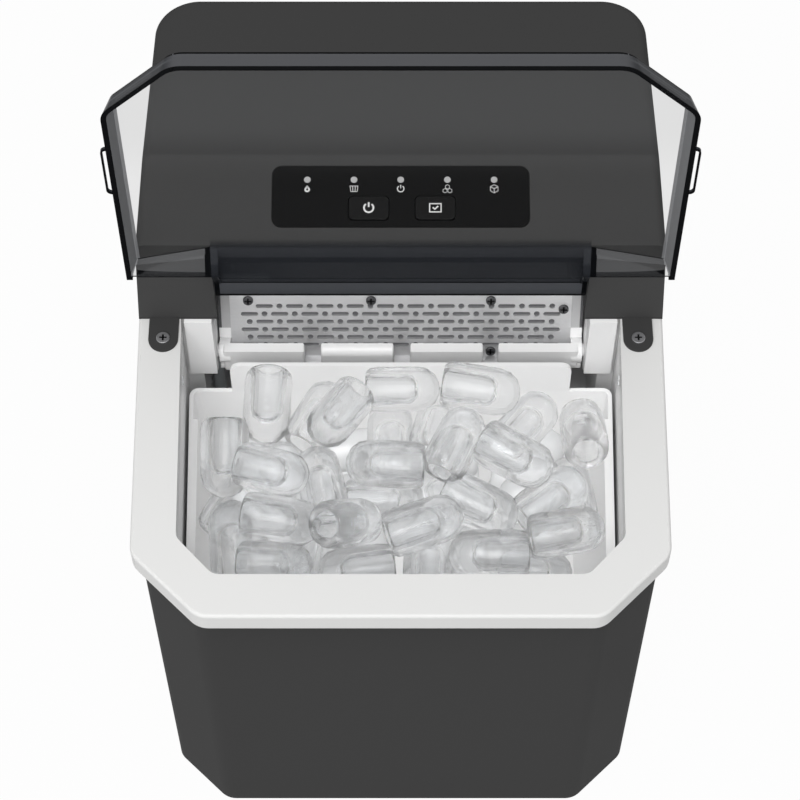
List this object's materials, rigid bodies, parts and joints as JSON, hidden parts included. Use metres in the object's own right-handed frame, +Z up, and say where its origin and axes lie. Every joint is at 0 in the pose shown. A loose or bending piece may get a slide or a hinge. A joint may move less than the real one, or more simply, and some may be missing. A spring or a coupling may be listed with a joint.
{
  "type": "ice maker",
  "caption": "Countertop ice maker: boxy cabinet with a framed ice opening and lift-out basket, a sloped control hood behind it and a clear smoked lid that swings up.",
  "frame": {"origin": "on the floor under the middle of the object's box, at the bottom of the feet", "axes": "+X to the right seen from the front, +Y towards the back, +Z up"},
  "size_m": [0.2284, 0.266, 0.3963],
  "materials": {
    "shell_plastic": "fine moulded satin, dark grey",
    "white_plastic": "smooth moulded white",
    "liner_plastic": "smooth moulded pale grey",
    "smoked_clear": "clear smoked, polished",
    "gloss_black": "polished black",
    "indicator": "pale clear",
    "rubber": "matt",
    "chute_steel": "brushed sheet",
    "screw_steel": "dark zinc",
    "pin_steel": "ground",
    "copper": "drawn tube, dull",
    "nickel": "plated, satin",
    "fin_aluminium": "mill finish",
    "black_steel": "satin black paint",
    "zinc_sheet": "zinc plated",
    "board": "solder mask",
    "inner_black": "plain moulded black",
    "clear_hose": "milky silicone"
  },
  "bodies": {
    "cabinet": {"body_shell": "shell_plastic", "hood": "shell_plastic", "rear_panel": "shell_plastic", "base_tray": "inner_black", "foot_front_left": "rubber", "foot_front_right": "rubber", "foot_rear_left": "rubber", "foot_rear_right": "rubber", "base_screws": "screw_steel", "rear_panel_screws": "screw_steel", "cord_gland": "rubber", "collar": "white_plastic", "liner": "liner_plastic", "tab_screws": "screw_steel", "control_panel": "gloss_black", "indicator_lenses": "indicator", "control_board": "board", "button_switches": "inner_black", "board_screws": "screw_steel", "pivot_bracket_left": "white_plastic", "pivot_bracket_right": "white_plastic", "tray_gearmotor": "zinc_sheet", "evaporator_carrier": "white_plastic", "carrier_screws": "screw_steel", "evaporator_block": "copper", "freezing_fingers": "nickel", "ice_sensor_left": "indicator", "ice_sensor_right": "indicator", "compressor_mounts": "rubber", "compressor_plate": "zinc_sheet", "compressor": "black_steel", "condenser_fins": "fin_aluminium", "condenser_tube": "copper", "fan_shroud": "inner_black", "fan_motor": "zinc_sheet", "filter_drier": "copper", "hot_gas_valve": "copper", "suction_line": "copper", "discharge_line": "copper", "water_pump": "inner_black", "water_hose": "clear_hose", "drain_spout": "white_plastic"},
    "lid": {"lid": "smoked_clear", "hinge_pin_left": "pin_steel", "hinge_pin_right": "pin_steel"},
    "basket": {"ice_basket": "white_plastic"},
    "tray": {"water_tray": "white_plastic", "chute_plate": "chute_steel", "chute_screws": "screw_steel", "tray_idle_pin": "pin_steel", "tray_drive_shaft": "pin_steel"},
    "power_button": {"power_button": "gloss_black"},
    "select_button": {"select_button": "gloss_black"},
    "fan": {"fan_blade": "inner_black"},
    "drain_plug": {"drain_plug": "rubber"}
  },
  "joints": [
    {"name": "lid_hinge", "type": "hinge", "parent": "cabinet", "child": "lid", "pos_m": [0, 0.024, 0.251], "axis": [-1, 0, 0], "range_deg": [-92, 0]},
    {"name": "basket_lift", "type": "slide", "parent": "cabinet", "child": "basket", "axis": [0, 0, 1], "range_m": [0, 0.16]},
    {"name": "tray_tilt", "type": "hinge", "parent": "cabinet", "child": "tray", "pos_m": [0, 0.017, 0.188], "axis": [-1, 0, 0], "range_deg": [0, 40]},
    {"name": "power_press", "type": "slide", "parent": "cabinet", "child": "power_button", "axis": [0, 0.2774, -0.9608], "range_m": [0, 0.0008], "stiffness_N_per_m": 1500},
    {"name": "select_press", "type": "slide", "parent": "cabinet", "child": "select_button", "axis": [0, 0.2774, -0.9608], "range_m": [0, 0.0008], "stiffness_N_per_m": 1500},
    {"name": "fan_spin", "type": "hinge", "parent": "cabinet", "child": "fan", "pos_m": [-0.052, 0.115, 0.062], "axis": [0, 1, 0], "continuous": true},
    {"name": "drain_plug_pull", "type": "slide", "parent": "cabinet", "child": "drain_plug", "axis": [-1, 0, 0], "range_m": [0, 0.025]}
  ]
}
